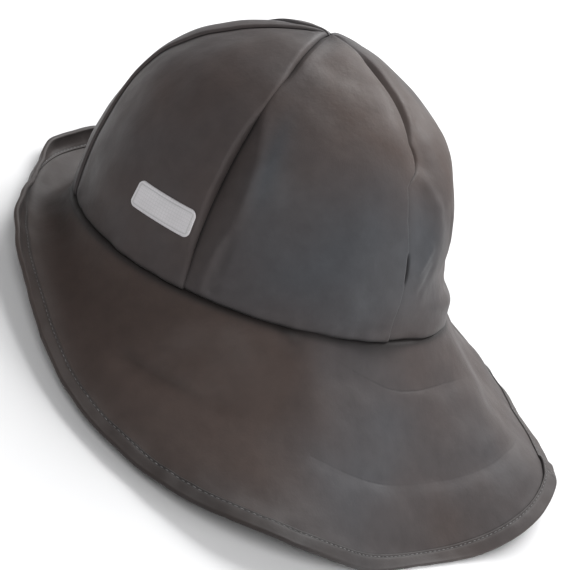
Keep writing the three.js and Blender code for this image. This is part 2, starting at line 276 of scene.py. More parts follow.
# brim folds: azimuth and share of the length at both ends, half widths, height as a share of BRIM_LENGTH
BRIM_FOLDS = [
    {"azimuth": (26, 24), "along": (0.1, 0.55), "around": 5, "across": 0.2, "height": 0.016},
    {"azimuth": (45, 64), "along": (0.5, 0.52), "around": 5, "across": 0.1, "height": -0.012},
    {"azimuth": (18, -30), "along": (0.16, 0.26), "around": 6, "across": 0.06, "height": -0.01},
    {"azimuth": (22, -32), "along": (0.57, 0.68), "around": 6, "across": 0.06, "height": -0.01},
    {"azimuth": (-34, -44), "along": (0.8, 0.9), "around": 9, "across": 0.3, "height": 0.014},
    {"azimuth": (-50, -64), "along": (0.9, 0.85), "around": 8, "across": 0.3, "height": 0.03},
    {"azimuth": (-67, -81), "along": (1.02, 1.02), "around": 7, "across": 0.18, "height": -0.056},
    {"azimuth": (134, 145), "along": (1, 1), "around": 9, "across": 0.2, "height": 0.045},
    {"azimuth": (161, 170), "along": (1, 1), "around": 9, "across": 0.2, "height": -0.044},
    {"azimuth": (114, 127), "along": (1, 1), "around": 8, "across": 0.2, "height": -0.016},
    {"azimuth": (103, 109), "along": (1, 1), "around": 7, "across": 0.2, "height": -0.02},
]
print(len(CROWN_FOLDS), "folds and", len(CROWN_CREASES), "finer ones on the crown")

# %% Folds, waves and swells


def fold_height(azimuth, along, runs):
    """how high the cloth stands at a place, over all the runs of folds together"""
    total = np.zeros(np.broadcast(azimuth, along).shape)
    for run in runs:
        first = azimuth_from(azimuth, run["azimuth"][0]) / run["around"]
        second = (along - run["along"][0]) / run["across"]
        run_around = (run["azimuth"][1] - run["azimuth"][0]) / run["around"]
        run_across = (run["along"][1] - run["along"][0]) / run["across"]
        size = run_around ** 2 + run_across ** 2
        share = np.clip((first * run_around + second * run_across) / max(size, 1e-9), 0, 1)
        away = (first - share * run_around) ** 2 + (second - share * run_across) ** 2
        total = total + run["height"] * np.exp(-away)
    return total


def crown_run(fold):
    middle = math.radians(sum(fold["along"]) / 2)
    reach = {"around": fold["width"] / math.cos(middle), "across": fold["width"]}
    return {**fold, **reach, "height": fold["height"] * CROWN_HEIGHT}


CROWN_RUNS = [crown_run(fold) for fold in CROWN_FOLDS + CROWN_CREASES]
BRIM_RUNS = [{**fold, "height": fold["height"] * BRIM_LENGTH} for fold in BRIM_FOLDS]


WAVE_COUNT = 14


def waves(points, height, length, seed):
    """a sum of sines in fixed directions, each near the given length"""
    draw = np.random.default_rng(seed)
    total = 0
    for _ in range(WAVE_COUNT):
        direction = draw.normal(size=3)
        direction /= np.linalg.norm(direction)
        each = length * draw.uniform(0.7, 1.5)
        start = draw.uniform(0, 2 * math.pi)
        total = total + np.sin(points @ direction * 2 * math.pi / each + start)
    return height * (total / math.sqrt(WAVE_COUNT / 2))


def swell(azimuth, azimuth_of_most, width, most):
    """a soft rise round one azimuth, used for shade and for reach"""
    return most * np.exp(-((azimuth_from(azimuth, azimuth_of_most) / width) ** 2))


print(len(CROWN_RUNS), "folds on the crown and", len(BRIM_RUNS), "on the brim")

# %% [markdown]
# ## Seams of the crown
# Each gore laps over the edge of the one before it. The lapped edge is a fold, so it rolls over, and the
# cloth below dips into the seam as a flat facet with a soft ridge behind it. How deep and how wide that
# dip is changes up the seam, and a small table for each seam gives it.

# %% Seam tables
# turns up the crown, and there the depth and width of the dip in millimetres
PLAIN_SEAM = {
    "turn": (0, 6, 14, 30, 50, 70, 84),
    "depth": (0.1, 0.5, 0.7, 0.8, 0.6, 0.4, 0.2),
    "width": (4, 5, 7, 8, 7, 5, 3),
}
SEAMS = {
    0: {
        "turn": (0, 8, 14.5, 15.5, 17, 20, 21.5, 22.5, 37, 39, 40.5, 44, 48, 56, 64, 74, 84),
        "depth": (0.1, 0.2, 0.2, 1.2, 1.6, 1.6, 1.2, 0.2, 0.2, 0.2, 1.0, 1.4, 1.8, 2.2, 2.2, 1.6, 0.6),
        "width": (4, 4, 1.2, 1.1, 1.1, 1.1, 1.1, 2, 2, 1, 1.2, 2.2, 3.2, 4.6, 5.2, 4.5, 3),
    },
    1: {
        "turn": (0, 3, 8, 13, 18, 24, 34, 41, 46, 50, 57, 64, 76, 84),
        "depth": (0.2, 0.6, 1.1, 2.0, 3.0, 3.3, 3.3, 2.4, 1.2, 0.1, 0.1, 1.1, 1.2, 0.6),
        "width": (4, 5, 7.5, 10.5, 12.5, 12.5, 10.5, 6, 2.6, 1, 1, 2, 2, 2),
    },
    2: {"turn": (0, 30, 84), "depth": (0.2, 0.25, 0.2), "width": (5, 6, 3)},
}
# stretches of seam that stray from their even place, in degrees
SEAM_STRAYS = [
    {"seam": 0, "from": 40, "to": 96, "shift": -13.5},
    {"seam": 0, "from": -10, "to": 42, "shift": 3},
    {"seam": 0, "from": 38.5, "to": 50, "shift": -4.5},
    {"seam": 0, "from": 6, "to": 30, "shift": -1.6},
    {"seam": 1, "from": -20, "to": 60, "shift": 3.4},
    {"seam": 2, "from": 0, "to": 90, "shift": 10},
]
print("seam dips go down to", max(max(row["depth"]) for row in SEAMS.values()), "mm")

# %% Seams
# how far the lapped edge rolls over, the flat share of a dip, and the soft ridge behind the dip
SEAM_ROLL = 1.2
FACET_FLAT = 0.85
SEAM_RIDGE = {"share": 0.2, "behind": 1.6, "width": 2.4}


def seam_azimuth(seam, turn):
    azimuth = seam * GORE_TURN + 0 * turn
    for stray in SEAM_STRAYS:
        if seam % GORE_COUNT == stray["seam"]:
            share = np.clip((turn - stray["from"]) / (stray["to"] - stray["from"]), 0, 1)
            azimuth = azimuth + stray["shift"] * np.sin(math.pi * share)
    return azimuth


def crown_radius(turn):
    return (HEAD_LENGTH + HEAD_WIDTH) / 4 * arch_radius(turn)


def lap_turn(turn):
    return np.minimum(np.degrees(SEAM_LAP / np.maximum(crown_radius(turn), 0.01)), GORE_TURN / 5)


def seam_dip(seam, turn):
    row = SEAMS.get(seam % GORE_COUNT, PLAIN_SEAM)
    return np.interp(turn, row["turn"], row["depth"]), np.interp(turn, row["turn"], row["width"])


def seam_relief(gore, azimuth, turn):
    per_degree = np.radians(crown_radius(turn))
    over = (azimuth - seam_azimuth(gore, turn)) * per_degree
    under = (seam_azimuth(gore + 1, turn) - azimuth) * per_degree
    depth, _ = seam_dip(gore, turn)
    rolled = depth * np.exp(-((np.maximum(over, 0) / SEAM_ROLL) ** 2))
    depth, width = seam_dip(gore + 1, turn)
    share = np.clip(under / width, 0, 1)
    facet = depth * (FACET_FLAT * (1 - share) + (1 - FACET_FLAT) * (1 - rounded(share)))
    behind = (under - width - SEAM_RIDGE["behind"]) / SEAM_RIDGE["width"]
    ridge = SEAM_RIDGE["share"] * depth * np.exp(-(behind ** 2))
    return ridge - rolled - facet


print("a gore laps", round(float(np.radians(lap_turn(0.0)) * crown_radius(0.0)), 1), "mm over the next")

# %% The crown's cloth
# waves: height and length in millimetres, and the seed of their directions
CROWN_WAVES = {"height": 0.55, "length": 62, "seed": 3}
CROWN_RIPPLES = {"height": 0.13, "length": 19, "seed": 4}
BASE_PUCKER = {"height": 0.22, "length": 11, "seed": 5}
# degrees up the crown: where the pucker is gone, where the waves and where a dent reach full height
PUCKER_FADE = 4
WAVES_FULL = 12
DENT_START = 4


def crown_relief(gore, azimuth, turn):
    folds = fold_height(azimuth, turn, CROWN_RUNS)
    inward = rounded((turn - ALLOWANCE_TURN) / DENT_START)
    folds = np.where(folds < 0, folds * inward, folds)
    level = arch_point(azimuth, turn)
    wander = waves(level, **CROWN_WAVES) + waves(level, **CROWN_RIPPLES)
    pucker = waves(level, **BASE_PUCKER) * np.exp(-((turn / PUCKER_FADE) ** 2))
    return folds + seam_relief(gore, azimuth, turn) + wander * rounded(turn / WAVES_FULL) + pucker


def gore_offset(gore, azimuth, turn):
    start = seam_azimuth(gore, turn) + lap_turn(turn)
    end = seam_azimuth(gore + 1, turn)
    share = (azimuth - start) / (end - start)
    return (GORE_WALL + GAP) * (1 - rounded(share))


def lean_hat(points):
    cosine, sine = math.cos(LEAN), math.sin(LEAN)
    x, y, z = np.moveaxis(points, -1, 0)
    return np.stack([x, y * cosine + z * sine, z * cosine - y * sine], -1)


def crown_place(gore, azimuth, turn, height):
    lift = gore_offset(gore, azimuth, turn) + crown_relief(gore, azimuth, turn) + height
    return arch_point(azimuth, turn) + arch_normal(azimuth, turn) * lift[..., None]


top = lean_hat(crown_place(0, np.array([30.0]), np.array([80.0]), np.array([GORE_WALL]))) + HAT_PLACE
print("near the apex the cloth is", round(float(top[0, 2]), 1), "mm up")

# %% [markdown]
# ## Slabs of cloth
# Every piece of cloth starts as the same thing: a flat grid that is one wide, one long and one thick,
# made by create_grid and extruded. A piece then says where each corner of that slab goes, and the slab
# is bent there. The flat grid also gives the cloth its own UV map, in metres, so that weave and coating
# follow the cloth. A brim or hem goes all the way round: its two ends are opened and joined up.

# %% Bend a slab
CRISP = 1e-6
WELD = 0.02


def bend_cloth(name, columns, rows, place, flat, joined=False):
    slab = bmesh.new()
    cloth_map = slab.loops.layers.uv.new("cloth")
    shade = slab.verts.layers.float.new("shade")
    warmth_and_light = slab.verts.layers.float.new("warmth_and_light")
    bmesh.ops.create_grid(slab, x_segments=columns, y_segments=rows, size=0.5)
    bmesh.ops.translate(slab, verts=slab.verts[:], vec=(0.5, 0.5, 0))
    raised = bmesh.ops.extrude_face_region(slab, geom=slab.faces[:], use_keep_orig=True)
    lifted = [item for item in raised["geom"] if isinstance(item, bmesh.types.BMVert)]
    bmesh.ops.translate(slab, verts=lifted, vec=(0, 0, 1))
    for face in slab.faces:
        face.smooth = True
        for corner in face.loops:
            corner[cloth_map].uv = (corner.vert.co.x * flat[0] * MM, corner.vert.co.y * flat[1] * MM)
    if joined:
        ends = [face for face in slab.faces if open_end(face)]
        bmesh.ops.delete(slab, geom=ends, context="FACES_ONLY")
    shares = np.array([vert.co[:] for vert in slab.verts])
    points, shading, warmth_and_light_here = place(shares[:, 0], shares[:, 1], shares[:, 2])
    for vert, point, dark, warm in zip(slab.verts, (points + HAT_PLACE) * MM, shading, warmth_and_light_here):
        vert.co = point
        vert[shade] = dark
        vert[warmth_and_light] = warm
    if joined:
        bmesh.ops.remove_doubles(slab, verts=slab.verts[:], dist=WELD * MM)
    bmesh.ops.recalc_face_normals(slab, faces=slab.faces[:])
    if slab.calc_volume(signed=True) < 0:
        bmesh.ops.reverse_faces(slab, faces=slab.faces[:])
    mesh = bpy.data.meshes.new(name)
    slab.to_mesh(mesh)
    slab.free()
    piece = bpy.data.objects.new(name, mesh)
    bpy.context.collection.objects.link(piece)
    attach(piece, "root")
    return piece


def open_end(face):
    across = [vert.co.x for vert in face.verts]
    return max(across) < CRISP or min(across) > 1 - CRISP


print("slabs that go all the way round are joined within", WELD, "mm")

# %% [markdown]
# ## Six gores
# A gore is bent from one slab: across from its sewn edge to the edge that is tucked under the next
# gore, and up from the base to the apex. The corners crowd towards the edges, where the cloth turns
# fast. Near an edge the slab's two faces close on each other, as folded cloth does.

# %% Where a gore's slab goes
GORE_COLUMNS = 110
GORE_ROWS = 130
CROWDED_ACROSS = 0.7
CROWDED_UP = 0.55
TIP_TURN = 89.2
EDGE_ROUND = 1.3
THINNEST = 0.18


def crowd(share, amount):
    return share - amount * np.sin(2 * math.pi * share) / (2 * math.pi)


def folded_edge(distance):
    share = np.clip(distance / EDGE_ROUND, 0, 1)
    return np.maximum(np.sqrt(1 - (1 - share) ** 2), THINNEST)


def gore_place(gore):
    def place(across, along, through):
        turn = TIP_TURN * crowd(along, CROWDED_UP)
        first = seam_azimuth(gore, turn)
        last = seam_azimuth(gore + 1, turn) + lap_turn(turn)
        azimuth = first + (last - first) * crowd(across, CROWDED_ACROSS)
        per_degree = np.radians(crown_radius(turn))
        climbed = np.radians(turn) * CROWN_HEIGHT
        edge = np.minimum(np.minimum(azimuth - first, last - azimuth) * per_degree, climbed)
        height = GORE_WALL * through * folded_edge(edge)
        shading = seam_shade(gore, azimuth, turn)
        warmth_and_light_here = tint_and_light(azimuth, turn, CROWN_TINTS_AND_LIGHT)
        return lean_hat(crown_place(gore, azimuth, turn, height)), shading, warmth_and_light_here

    return place


print("a gore's slab has", GORE_COLUMNS, "columns and", GORE_ROWS, "rows")

# %% [markdown]
# A deep crease looks darker than the lights alone make it, and the left of the hat is turned away from
# them, so the cloth carries painted shade there. It is a number from 0 to 1 that is worked out from the
# same tables as the shape. Warmth says where the coating is browner or greyer, and it also paints light
# and shade: the cool colour is the lighter one, so cool patches paint light, most on the ridge beside the
# left seam, and warm ones paint shade on the left of the hat.

# %% Shade and warmth of the crown
# shade beside a seam: over the facet, more in its corner, and in the crease for each millimetre of dip
FACET_SHADE = 0.26
FACET_EDGE = 0.9
FACET_FULL = 2.4
CORNER_SHADE = {"most": 0.2, "width": 3}
CREASE_SHADE = {"least": 0.04, "per_mm": 0.42, "width": 0.9}
# shade at the base of the crown and on its left: half width or height in degrees
BASE_SHADE = {"most": 0.8, "height": 0.8}
LEFT_SHADE = {"azimuth_of_most": 108, "width": 26, "most": 0.28}
LEFT_SHADE_HEIGHT = 30
# patches of browner or greyer coating, which also paint light and shade: azimuth, turn, half widths in
# degrees, and warmth, below 0 where it is cool and lighter
CROWN_TINTS_AND_LIGHT = [
    {"azimuth": 12, "along": 66, "around": 34, "across": 17, "warmth_and_light": 2.1},
    {"azimuth": -4, "along": 46, "around": 12, "across": 14, "warmth_and_light": 0.8},
    {"azimuth": -36, "along": 46, "around": 16, "across": 30, "warmth_and_light": 1.2},
    {"azimuth": 30, "along": 18, "around": 30, "across": 18, "warmth_and_light": -0.7},
    {"azimuth": -6, "along": 26, "around": 10, "across": 12, "warmth_and_light": -0.8},
    # these two rows paint a highlight on the ridge beside the left seam
    {"azimuth": 48, "along": 30, "around": 8, "across": 18, "warmth_and_light": -0.6},
    {"azimuth": 51, "along": 36, "around": 3.5, "across": 12, "warmth_and_light": -0.8},
    {"azimuth": 85, "along": 8, "around": 25, "across": 12, "warmth_and_light": 0.5},
    {"azimuth": 90, "along": 40, "around": 28, "across": 30, "warmth_and_light": 0.5},
]


def seam_shade(gore, azimuth, turn):
    per_degree = np.radians(crown_radius(turn))
    under = (seam_azimuth(gore + 1, turn) - azimuth) * per_degree
    depth, width = seam_dip(gore + 1, turn)
    in_crease = np.clip(CREASE_SHADE["least"] + CREASE_SHADE["per_mm"] * depth, 0, 1)
    crease = np.exp(-((np.maximum(under, 0) / CREASE_SHADE["width"]) ** 2)) * in_crease
    within = 1 - rounded((under - width + FACET_EDGE) / (2 * FACET_EDGE))
    corner = CORNER_SHADE["most"] * np.exp(-((under / CORNER_SHADE["width"]) ** 2))
    shaded = within * (FACET_SHADE + corner) * rounded(depth / FACET_FULL)
    base = BASE_SHADE["most"] * np.exp(-((turn / BASE_SHADE["height"]) ** 2))
    left = swell(azimuth, **LEFT_SHADE) * np.exp(-((turn / LEFT_SHADE_HEIGHT) ** 2))
    return np.clip(crease + shaded + base + left, 0, 1)


def tint_and_light(azimuth, along, spots):
    total = 0 * azimuth
    for spot in spots:
        sideways = azimuth_from(azimuth, spot["azimuth"]) / spot["around"]
        outwards = (along - spot["along"]) / spot["across"]
        total = total + spot["warmth_and_light"] * np.exp(-(sideways ** 2) - outwards ** 2)
    return total


# the patches also paint light and shade
print(len(CROWN_TINTS_AND_LIGHT), "patches of warmer or cooler coating on the crown")

# %% Bend the gores
GORE_NAMES = ["back_left", "left", "front_left", "front_right", "right", "back_right"]
GORE_FLAT = (106, 158)
gores = []
for count, side in enumerate(GORE_NAMES):
    gore = bend_cloth(f"gore_{side}", GORE_COLUMNS, GORE_ROWS, gore_place(count), GORE_FLAT)
    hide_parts(f"crown_gore_{side}")
    gores.append(gore)
print(len(gores), "gores of", len(gores[0].data.polygons), "faces each")

# %% [markdown]
# ## The brim
# The brim is one sheet, all round the head. Each of its sections leaves the crown at a slope that a
# table gives, and bends to another slope at the rim: down over the neck, up into a gutter at the front.
# Walking along the cloth in small steps, and adding each step up, gives the section's line.

# %% Brim sections
BRIM_SECTIONS = [
    {"azimuth": 0, "length": 1.0, "start_slope": 55, "end_slope": 43},
    {"azimuth": 30, "length": 0.97, "start_slope": 47, "end_slope": 21},
    {"azimuth": 60, "length": 0.765, "start_slope": 52, "end_slope": 21},
    {"azimuth": 90, "length": 0.475, "start_slope": 72, "end_slope": -31},
    {"azimuth": 120, "length": 0.345, "start_slope": 82, "end_slope": -111},
    {"azimuth": 150, "length": 0.415, "start_slope": 72, "end_slope": -105},
    {"azimuth": 180, "length": 0.445, "start_slope": 56, "end_slope": -110},
]
# where the brim starts under the crown's edge, its flange, and the slope of the allowance inside
SEAM_SEAT = 2
FLANGE = 2.7
ALLOWANCE_SLOPE = 88.5
# millimetres over which the cloth bends at the allowance and at the seam
FLANGE_BEND = 1.2
SEAM_BEND = 2.4
WALK_STEPS = 900
WALK_BEYOND = 1.02


def brim_value(column, azimuth):
    rows = len(BRIM_SECTIONS)
    spacing = 180 / (rows - 1)
    place = (azimuth % 360) / spacing
    first = np.floor(place).astype(int)
    values = np.array([row[column] for row in BRIM_SECTIONS + BRIM_SECTIONS[-2:0:-1]], float)
    before, start, end, after = (values[(first + step) % len(values)] for step in (-1, 0, 1, 2))
    share = place - first
    bend = 2 * before - 5 * start + 4 * end - after
    twist = 3 * (start - end) + after - before
    return start + 0.5 * share * (end - before + share * (bend + share * twist))


def brim_slope(azimuth, distance):
    start = brim_value("start_slope", azimuth)
    end = brim_value("end_slope", azimuth)
    share = np.maximum(distance, 0) / (BRIM_LENGTH * brim_value("length", azimuth))
    walked = start + (end - start) * share ** SLOPE_TURN
    corner = ALLOWANCE_SLOPE * (1 - rounded((distance + FLANGE + FLANGE_BEND / 2) / FLANGE_BEND))
    return corner + walked * rounded((distance + SEAM_BEND / 4) / SEAM_BEND)


def brim_line(azimuth, distance):
    """out, up and slope of the brim's top face for one azimuth and many distances"""
    walk = np.linspace(-FLANGE - ALLOWANCE, BRIM_LENGTH * WALK_BEYOND, WALK_STEPS)
    slope = np.radians(brim_slope(azimuth, walk))
    step = walk[1] - walk[0]
    out = np.concatenate([[0], np.cumsum(np.cos((slope[1:] + slope[:-1]) / 2) * step)])
    down = np.concatenate([[0], np.cumsum(np.sin((slope[1:] + slope[:-1]) / 2) * step)])
    out += SEAM_SEAT - np.interp(0, walk, out)
    down += GAP - np.interp(0, walk, down)
    here = [np.interp(distance, walk, values) for values in (out, down, slope)]
    return here[0], -here[1], here[2]


lengths = [round(float(BRIM_LENGTH * brim_value("length", np.array(side))), 1) for side in (0, 90, 180)]
print("brim runs out", lengths, "mm at the back, side and front")

# %% [markdown]
# Two long marks run round the brim where it was once folded flat. Each is a chain of short lines, with
# how strongly it shows at each place: a very shallow valley in the cloth, and a thin dark line of
# painted shade along it. A few soft ridges lie beside the marks, and sharper creases further to the left.

# %% Creases, fold marks and tints of the brim
# ridges and creases: azimuth and share of the length at both ends, half widths, height in millimetres
BRIM_CREASES = [
    {"azimuth": (16, -12), "along": (0.15, 0.27), "around": 4, "across": 0.03, "height": 0.2},
    {"azimuth": (20, -24), "along": (0.62, 0.71), "around": 4, "across": 0.03, "height": 0.12},
    {"azimuth": (64, 52), "along": (0.51, 0.475), "around": 3, "across": 0.03, "height": -0.5},
    {"azimuth": (66, 46), "along": (0.62, 0.56), "around": 5, "across": 0.05, "height": 0.3},
    {"azimuth": (34, 31), "along": (0.01, 0.05), "around": 1.6, "across": 0.02, "height": -0.5},
]
# the two long fold marks: azimuth, share of the length, and how strongly the mark shows there
FOLD_MARKS = [
    (
        (20, 0.09, 0.1), (14, 0.13, 0.2), (8, 0.17, 0.5), (3, 0.203, 0.8), (-2, 0.219, 0.8),
        (-8, 0.226, 0.6), (-14, 0.226, 0.6), (-19, 0.23, 0.4), (-25, 0.25, 0.2), (-39, 0.32, 0.05),
    ),
    (
        (25, 0.56, 0.1), (18, 0.583, 0.4), (12, 0.608, 0.4), (7, 0.622, 0.35), (0, 0.63, 0.15),
        (-8, 0.637, 0.1), (-18, 0.655, 0.15), (-28, 0.677, 0.3), (-37, 0.735, 0.2),
    ),
]
BRIM_LINES = [
    {"azimuth": (start[0], end[0]), "along": (start[1], end[1]), "strength": (start[2] + end[2]) / 2}
    for mark in FOLD_MARKS
    for start, end in zip(mark, mark[1:])
]
# patches of browner or greyer coating on the brim, which also paint light and shade, most of all shade
# in the gutter and near the rim: their place and half width out along it are shares of its length
BRIM_TINTS_AND_LIGHT = [
    {"azimuth": 48, "along": 0.4, "around": 18, "across": 0.5, "warmth_and_light": 1.7},
    {"azimuth": 84, "along": 0.6, "around": 30, "across": 0.8, "warmth_and_light": 1.7},
    {"azimuth": 140, "along": 0.6, "around": 34, "across": 1.0, "warmth_and_light": 0.9},
    {"azimuth": 0, "along": 0.5, "around": 22, "across": 0.35, "warmth_and_light": -0.4},
    {"azimuth": 12, "along": 0.95, "around": 16, "across": 0.2, "warmth_and_light": 0.3},
    {"azimuth": -12, "along": 0.85, "around": 12, "across": 0.14, "warmth_and_light": 0.25},
    {"azimuth": -18, "along": 0.1, "around": 14, "across": 0.12, "warmth_and_light": 0.25},
]
print(len(BRIM_LINES), "short lines make the", len(FOLD_MARKS), "fold marks")

# %% [markdown]
# Where the leaning hat would sink into the surface, the brim is lifted onto it. It comes down softly,
# over a few millimetres, because a sharp turn there would show as a lighter patch with a hard edge.

# %% The brim's cloth
BRIM_WAVES = {"height": 0.6, "length": 66, "seed": 7}
BRIM_RIPPLES = {"height": 0.16, "length": 21, "seed": 8}
RIM_PUCKER = {"height": 0.14, "length": 12, "seed": 9}
# millimetres from the crown where the waves are full, and the share of the length where the pucker is
BRIM_WAVES_FULL = 12
PUCKER_START = 0.75
PUCKER_RUN = 0.2
# a fold mark's depth in millimetres, and its half widths round the brim and out along it
MARK_DEPTH = 0.3
MARK_WIDTHS = {"around": 2.5, "across": 0.013}
MARK_RUNS = [{**row, **MARK_WIDTHS, "height": row["strength"]} for row in BRIM_LINES]
FLOOR = -HAT_PLACE[2] - PRESSED
TOUCH = 3
HEM_CLEARANCE = HEM_WALL + HEM_GAP
# the outer share of the brim over which its wall thins
THINNING = 2 / 7


def mark_strength(azimuth, share):
    return np.max([fold_height(azimuth, share, [run]) for run in MARK_RUNS], axis=0)


def brim_frame(azimuth, distance):
    """top face, normal and outward run of the brim's cloth, at arrays of places"""
    out, up, slope = np.zeros((3, len(azimuth)))
    for side in np.unique(azimuth):
        here = azimuth == side
        out[here], up[here], slope[here] = brim_line(side, distance[here])
    away = outward(azimuth)
    sky = np.array([0, 0, 1.0])
    normal = away * np.sin(slope)[:, None] + sky * np.cos(slope)[:, None]
    run = away * np.cos(slope)[:, None] - sky * np.sin(slope)[:, None]
    place = base_point(azimuth) + away * out[:, None] + sky * up[:, None]
    share = distance / (BRIM_LENGTH * brim_value("length", azimuth))
    relief = fold_height(azimuth, share, BRIM_RUNS) + fold_height(azimuth, share, BRIM_CREASES)
    relief = relief - MARK_DEPTH * mark_strength(azimuth, share)
    wander = waves(place, **BRIM_WAVES) + waves(place, **BRIM_RIPPLES)
    pucker = waves(place, **RIM_PUCKER) * rounded((share - PUCKER_START) / PUCKER_RUN)
    relief = relief + (wander + pucker) * rounded(distance / BRIM_WAVES_FULL)
    return place + normal * relief[:, None], normal, run


def settle(points, middles, half):
    """lift places out of the surface, softly where the cloth comes down on it"""
    leaned = lean_hat(points)
    sunk = FLOOR + half - lean_hat(middles)[..., 2]
    lift = np.where(sunk > TOUCH, sunk, np.maximum(0, sunk + TOUCH) ** 2 / (4 * TOUCH))
    leaned[..., 2] = np.maximum(leaned[..., 2] + lift, FLOOR + PRESSED)
    return leaned


def near_hem(azimuth, distance):
    start = BRIM_LENGTH * brim_value("length", azimuth) - HEM_DEPTH
    return rounded((distance - start * (1 - THINNING)) / (start * THINNING))


back_face, _, _ = brim_frame(np.array([0.0]), np.array([BRIM_LENGTH / 2]))
print("halfway out the back of the brim is", round(float(-back_face[0, 2])), "mm below the crown's base")

# %% [markdown]
# The brim's slab takes a seventh of its rows for the allowance and the tight bend at the crown, and the
# rest for the cloth outside. Shade goes where light doesn't reach: under the crown's edge, in creases,
# in the gutter, on the left side and towards the rim, where the cloth hangs down.

# %% Bend the brim
BRIM_COLUMNS = 480
BRIM_ROWS = 92
NEAR_CROWN = 3
NEAR_CROWN_SHARE = 0.14
BRIM_MAP = (940, 113)
BRIM_LEFT_SHADE = {"azimuth_of_most": 72, "width": 30, "most": 0.15}
GUTTER_SHADE = {"azimuth_of_most": 146, "width": 40, "most": 0.55}
# shade towards the rim: from which share of the length, and over how much of it
HANGING_SHADE = {"azimuth_of_most": 36, "width": 64, "most": 0.3}
HANGING_START = 0.6
HANGING_RUN = 0.35
CREASED_SHADE = 0.45
# shade under the crown's edge: how dark, and how far out in millimetres, further at one place
UNDER_SHADE = 0.9
UNDER_REACH = 2
FURTHER_REACH = {"azimuth_of_most": 6, "width": 8, "most": 4}


def brim_shade(azimuth, distance, rim):
    creased = -fold_height(azimuth, distance / rim, BRIM_CREASES) * CREASED_SHADE
    outer = rounded((distance / rim - HANGING_START) / HANGING_RUN)
    hanging = swell(azimuth, **HANGING_SHADE) * outer
    sides = swell(azimuth, **BRIM_LEFT_SHADE) + swell(azimuth, **GUTTER_SHADE)
    reach = UNDER_REACH + swell(azimuth, **FURTHER_REACH)
    under = UNDER_SHADE * np.exp(-((np.maximum(distance - 1, 0) / reach) ** 2))
    return np.clip(creased + hanging + sides + under, 0, 1)


def brim_place(across, along, through):
    azimuth = 360 * across
    rim = BRIM_LENGTH * brim_value("length", azimuth)
    cloth_end = rim - HEM_CLEARANCE
    hidden = -FLANGE - ALLOWANCE
    outer = (along - NEAR_CROWN_SHARE) / (1 - NEAR_CROWN_SHARE)
    inner = hidden + (NEAR_CROWN - hidden) * along / NEAR_CROWN_SHARE
    distance = np.where(outer > 0, NEAR_CROWN + (cloth_end - NEAR_CROWN) * outer, inner)
    face, normal, _ = brim_frame(azimuth, distance)
    edge = np.minimum(distance - hidden, cloth_end - distance)
    middle = face - normal * BRIM_WALL / 2
    wall = BRIM_WALL + (RIM_WALL - BRIM_WALL) * near_hem(azimuth, distance)
    point = middle + normal * ((through - 0.5) * wall * folded_edge(edge))[:, None]
    half = wall / 2 + near_hem(azimuth, distance) * HEM_CLEARANCE
    shading = brim_shade(azimuth, distance, rim)
    return settle(point, middle, half), shading, tint_and_light(azimuth, distance / rim, BRIM_TINTS_AND_LIGHT)


brim = bend_cloth("brim_cloth", BRIM_COLUMNS, BRIM_ROWS, brim_place, BRIM_MAP, joined=True)
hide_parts("brim")
print("brim has", len(brim.data.polygons), "faces")

# %% [markdown]
# ## The hem
# The rim is closed by a doubled band, folded round it and stitched through. It is thin, so that the
# brim keeps the fine edge that coated cloth has. Going along the slab walks over the top of the band,
# round its nose and back below. The stitching pulls a shallow groove into it, and the ends of the band
# lap over each other at the right back.

# %% The hem's wall
# the stitch line: millimetres from the band's lip, how far it pulls the wall in, and half its width
STITCH_INSET = 1.25
STITCH_PULL = 0.42
STITCH_GROOVE = 0.5
# the band stands up a little behind the stitches and flattens towards the nose
PUFF = {"height": 0.12, "rise": 2, "fall_from": 4, "fall": 3}
LIP_START = 0.1
# the lapped joint: how thick, and the degrees over which its cut end and its other end come down
JOINT = {"azimuth": 324.5, "thick": 0.9, "from": -3.4, "crisp": 0.45, "to": 1.2, "soft": 4.5}


def joint_rise(azimuth):
    away = azimuth_from(azimuth, JOINT["azimuth"])
    rise = rounded((away - JOINT["from"]) / JOINT["crisp"])
    return JOINT["thick"] * rise * (1 - rounded((away - JOINT["to"]) / JOINT["soft"]))


def hem_wall(azimuth, inset):
    pulled = STITCH_PULL * np.exp(-(((inset - STITCH_INSET) / STITCH_GROOVE) ** 2))
    puffed = PUFF["height"] * rounded((inset - STITCH_INSET) / PUFF["rise"])
    puffed = puffed * (1 - rounded((inset - PUFF["fall_from"]) / PUFF["fall"]))
    return HEM_WALL * folded_edge(inset + LIP_START) + puffed - pulled * HEM_WALL + joint_rise(azimuth)


def hem_face(azimuth, inset, side, through, nose=0.0):
    """a place on the band: inset from its lip, on the top or lower side, turned round the nose"""
    rim = BRIM_LENGTH * brim_value("length", azimuth)
    distance = rim - HEM_DEPTH + inset
    face, normal, run = brim_frame(azimuth, distance)
    middle = face - normal * BRIM_WALL / 2
    wall = hem_wall(azimuth, inset) * through
    lifted = (RIM_WALL / 2 + HEM_GAP + wall) * side * np.cos(nose)
    reach = (HEM_GAP + wall) * np.sin(nose)
    point = middle + normal * lifted[:, None] + run * reach[:, None]
    return settle(point, middle, RIM_WALL / 2 + HEM_CLEARANCE)


print("the joint is", JOINT["thick"], "mm thicker than the hem, at azimuth", JOINT["azimuth"])

# %% Bend the hem
HEM_COLUMNS = 720
HEM_ROWS = 40
HEM_MAP = (940, 18)
FLAT_SHARE = 0.74
# shade in the stitch groove and at the lip: how dark, and half width in millimetres
GROOVE_SHADE = {"most": 0.6, "width": 0.45}
LIP_SHADE = {"most": 0.6, "width": 0.35}
HEM_HANGING_SHADE = {"azimuth_of_most": 40, "width": 36, "most": 0.69}
HEM_GUTTER_SHARE = 0.6
# the band is a little warmer than the brim beside it, which is taken at this share of its length
HEM_WARMER = 0.3
HEM_ALONG = 0.9


